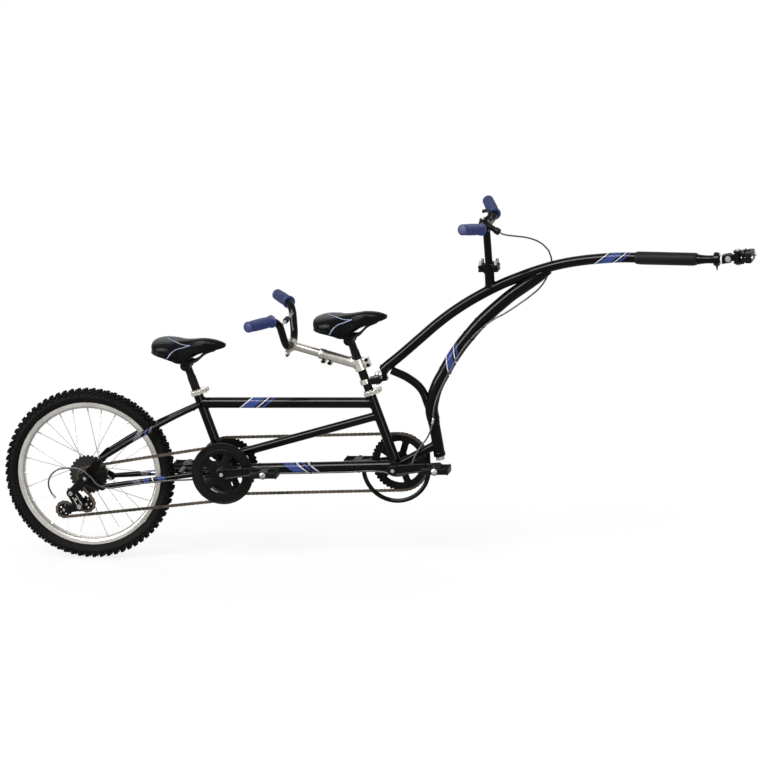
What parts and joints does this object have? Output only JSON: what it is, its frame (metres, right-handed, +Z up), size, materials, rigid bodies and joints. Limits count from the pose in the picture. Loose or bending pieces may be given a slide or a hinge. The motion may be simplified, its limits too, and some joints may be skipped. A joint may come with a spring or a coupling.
{
  "type": "trailer bike",
  "caption": "Two-seat trailer bike: one driven wheel, low step-through frame with saddles, bars and cranks, and an arched folding boom with a seat-post hitch.",
  "frame": {"origin": "centre of the hitch clamp's bore for the towing bike's seat post", "axes": "+X forward, the way the part is towed; +Y to the left; +Z up along the clamp bore"},
  "size_m": [2.259, 0.4534, 1.04],
  "materials": {
    "frame_paint": "gloss black paint",
    "satin_black_metal": "satin black",
    "alloy": "brushed",
    "steel": "satin plated steel",
    "chain_steel": "lightly oiled",
    "black_plastic": "moulded",
    "tyre_rubber": "matt",
    "cable_housing": "smooth",
    "blue_grip": "soft matt",
    "saddle_vinyl": "soft vinyl",
    "pad_foam": "foam with a soft skin"
  },
  "bodies": {
    "frame": {"main_frame": "frame_paint", "rear_stays": "frame_paint", "guard_hoop": "frame_paint", "wheel_axle": "steel", "rear_seat_collar": "alloy", "front_seat_collar": "alloy", "boom_jaw": "alloy", "drive_chain": "chain_steel", "timing_chain": "chain_steel", "derailleur_bracket": "satin_black_metal", "frame_cable": "cable_housing"},
    "wheel": {"tyre": "tyre_rubber", "rim": "alloy", "hub_and_spokes": "alloy"},
    "freewheel": {"freewheel_cogs": "steel"},
    "rear_crankset": {"rear_crank_right": "satin_black_metal", "rear_crank_left": "satin_black_metal", "rear_timing_ring": "black_plastic", "drive_ring": "black_plastic"},
    "front_crankset": {"front_crank_right": "satin_black_metal", "front_crank_left": "satin_black_metal", "front_timing_ring": "black_plastic"},
    "rear_right_pedal": {"rear_pedal_right": "black_plastic"},
    "rear_left_pedal": {"rear_pedal_left": "black_plastic"},
    "front_right_pedal": {"front_pedal_right": "black_plastic"},
    "front_left_pedal": {"front_pedal_left": "black_plastic"},
    "derailleur_arm": {"derailleur_link": "satin_black_metal"},
    "pulley_cage": {"derailleur_cage": "satin_black_metal"},
    "upper_pulley": {"guide_pulley": "black_plastic"},
    "lower_pulley": {"tension_pulley": "black_plastic"},
    "rear_seat_pillar": {"rear_seat_post": "satin_black_metal"},
    "rear_saddle_unit": {"rear_saddle_clamp": "satin_black_metal", "rear_saddle_rails": "satin_black_metal", "rear_saddle": "saddle_vinyl"},
    "front_seat_pillar": {"front_seat_post": "satin_black_metal", "stoker_stem": "alloy"},
    "front_saddle_unit": {"front_saddle_clamp": "satin_black_metal", "front_saddle_rails": "satin_black_metal", "front_saddle": "saddle_vinyl"},
    "stoker_stem_inner": {"stoker_stem_slider": "alloy"},
    "stoker_bar_unit": {"stoker_bar": "frame_paint", "stoker_grip_left": "blue_grip", "stoker_grip_right": "blue_grip"},
    "rear_seat_cam": {"rear_seat_lever": "alloy"},
    "front_seat_cam": {"front_seat_lever": "alloy"},
    "boom_cam": {"boom_latch_lever": "alloy"},
    "boom": {"boom_frame": "frame_paint", "boom_pad": "pad_foam", "front_bar_cap": "satin_black_metal", "hitch_receiver": "satin_black_metal", "boom_cable": "cable_housing"},
    "front_bar_unit": {"front_handlebar": "frame_paint", "front_grip_left": "blue_grip", "front_grip_right": "blue_grip", "shifter_body": "satin_black_metal"},
    "shift_thumb": {"shift_lever": "black_plastic"},
    "hitch_lock": {"hitch_pin": "steel"},
    "hitch_knuckle": {"hitch_cross": "steel"},
    "seat_post_clamp_unit": {"seat_post_clamp_back": "satin_black_metal", "seat_post_clamp_front": "satin_black_metal"}
  },
  "joints": [
    {"name": "wheel_spin", "type": "hinge", "parent": "frame", "child": "wheel", "pos_m": [-1.98, 0, -0.64694], "axis": [0, 1, 0], "continuous": true},
    {"name": "freewheel_spin", "type": "hinge", "parent": "frame", "child": "freewheel", "pos_m": [-1.98, -0.04, -0.64694], "axis": [0, 1, 0], "continuous": true},
    {"name": "rear_crank_spin", "type": "hinge", "parent": "frame", "child": "rear_crankset", "pos_m": [-1.573, 0, -0.63694], "axis": [0, 1, 0], "continuous": true},
    {"name": "front_crank_spin", "type": "hinge", "parent": "frame", "child": "front_crankset", "pos_m": [-1.062, 0, -0.62494], "axis": [0, 1, 0], "continuous": true},
    {"name": "rear_pedal_right_spin", "type": "hinge", "parent": "rear_crankset", "child": "rear_right_pedal", "pos_m": [-1.43563, -0.108, -0.62371], "axis": [0, 1, 0], "continuous": true},
    {"name": "rear_pedal_left_spin", "type": "hinge", "parent": "rear_crankset", "child": "rear_left_pedal", "pos_m": [-1.71036, 0.108, -0.65017], "axis": [0, 1, 0], "continuous": true},
    {"name": "front_pedal_right_spin", "type": "hinge", "parent": "front_crankset", "child": "front_right_pedal", "pos_m": [-0.92463, -0.108, -0.61171], "axis": [0, 1, 0], "continuous": true},
    {"name": "front_pedal_left_spin", "type": "hinge", "parent": "front_crankset", "child": "front_left_pedal", "pos_m": [-1.19936, 0.108, -0.63817], "axis": [0, 1, 0], "continuous": true},
    {"name": "derailleur_link_swing", "type": "hinge", "parent": "frame", "child": "derailleur_arm", "pos_m": [-2.024, -0.069, -0.69094], "axis": [0, 1, 0], "range_deg": [-8, 8], "deforming": ["drive_chain", "frame_cable"]},
    {"name": "derailleur_cage_swing", "type": "hinge", "parent": "derailleur_arm", "child": "pulley_cage", "pos_m": [-2.002, -0.062, -0.73294], "axis": [0, 1, 0], "range_deg": [-12, 20], "deforming": ["drive_chain"]},
    {"name": "guide_pulley_spin", "type": "hinge", "parent": "pulley_cage", "child": "upper_pulley", "pos_m": [-1.984, -0.05, -0.72894], "axis": [0, 1, 0], "continuous": true},
    {"name": "tension_pulley_spin", "type": "hinge", "parent": "pulley_cage", "child": "lower_pulley", "pos_m": [-2.052, -0.05, -0.74594], "axis": [0, 1, 0], "continuous": true},
    {"name": "rear_seat_height", "type": "slide", "parent": "frame", "child": "rear_seat_pillar", "axis": [-0.309, 0, 0.9511], "range_m": [-0.05, 0.04]},
    {"name": "rear_saddle_tilt", "type": "hinge", "parent": "rear_seat_pillar", "child": "rear_saddle_unit", "pos_m": [-1.67528, 0, -0.32214], "axis": [0, 1, 0], "range_deg": [-8, 8]},
    {"name": "front_seat_height", "type": "slide", "parent": "frame", "child": "front_seat_pillar", "axis": [-0.309, 0, 0.9511], "range_m": [-0.015, 0.04]},
    {"name": "front_saddle_tilt", "type": "hinge", "parent": "front_seat_pillar", "child": "front_saddle_unit", "pos_m": [-1.18499, 0, -0.2464], "axis": [0, 1, 0], "range_deg": [-8, 8]},
    {"name": "stoker_stem_slide", "type": "slide", "parent": "front_seat_pillar", "child": "stoker_stem_inner", "axis": [-0.9603, 0, 0.279], "range_m": [-0.03, 0.03]},
    {"name": "stoker_bar_tilt", "type": "hinge", "parent": "stoker_stem_inner", "child": "stoker_bar_unit", "pos_m": [-1.36197, 0, -0.26389], "axis": [0, 1, 0], "range_deg": [-15, 15]},
    {"name": "rear_seat_lever_open", "type": "hinge", "parent": "frame", "child": "rear_seat_cam", "pos_m": [-1.62196, -0.0213, -0.39629], "axis": [-0.309, 0, 0.9511], "range_deg": [0, 150]},
    {"name": "front_seat_lever_open", "type": "hinge", "parent": "frame", "child": "front_seat_cam", "pos_m": [-1.10664, -0.0213, -0.39759], "axis": [-0.309, 0, 0.9511], "range_deg": [0, 150]},
    {"name": "boom_latch_open", "type": "hinge", "parent": "frame", "child": "boom_cam", "pos_m": [-1.11135, 0, -0.35173], "axis": [0.9917, 0, 0.1288], "range_deg": [0, 90]},
    {"name": "boom_fold", "type": "hinge", "parent": "frame", "child": "boom", "pos_m": [-0.934, 0, -0.59694], "axis": [-0.1288, 0, 0.9917], "range_deg": [0, 120], "deforming": ["boom_cable", "frame_cable"]},
    {"name": "front_bar_tilt", "type": "hinge", "parent": "boom", "child": "front_bar_unit", "pos_m": [-0.76168, 0, -0.03388], "axis": [0, 1, 0], "range_deg": [-8, 8], "deforming": ["boom_cable"]},
    {"name": "shift_lever_turn", "type": "hinge", "parent": "front_bar_unit", "child": "shift_thumb", "pos_m": [-0.76498, -0.036, 0.11312], "axis": [0, 0, 1], "range_deg": [-20, 20]},
    {"name": "hitch_pin_pull", "type": "slide", "parent": "boom", "child": "hitch_lock", "axis": [0, 0, 1], "range_m": [0, 0.035]},
    {"name": "hitch_pitch", "type": "hinge", "parent": "boom", "child": "hitch_knuckle", "pos_m": [-0.051, 0, -0.006], "axis": [0, 1, 0], "range_deg": [-40, 40]},
    {"name": "hitch_yaw", "type": "hinge", "parent": "hitch_knuckle", "child": "seat_post_clamp_unit", "pos_m": [-0.025, 0, -0.003], "axis": [0, 0, 1], "range_deg": [-60, 60]}
  ],
  "couplings": [
    {"joint": "freewheel_spin", "follows": "rear_crank_spin", "ratio": 2.8571},
    {"joint": "front_crank_spin", "follows": "rear_crank_spin", "ratio": 1},
    {"joint": "guide_pulley_spin", "follows": "rear_crank_spin", "ratio": -3.6364},
    {"joint": "tension_pulley_spin", "follows": "rear_crank_spin", "ratio": 3.6364}
  ]
}
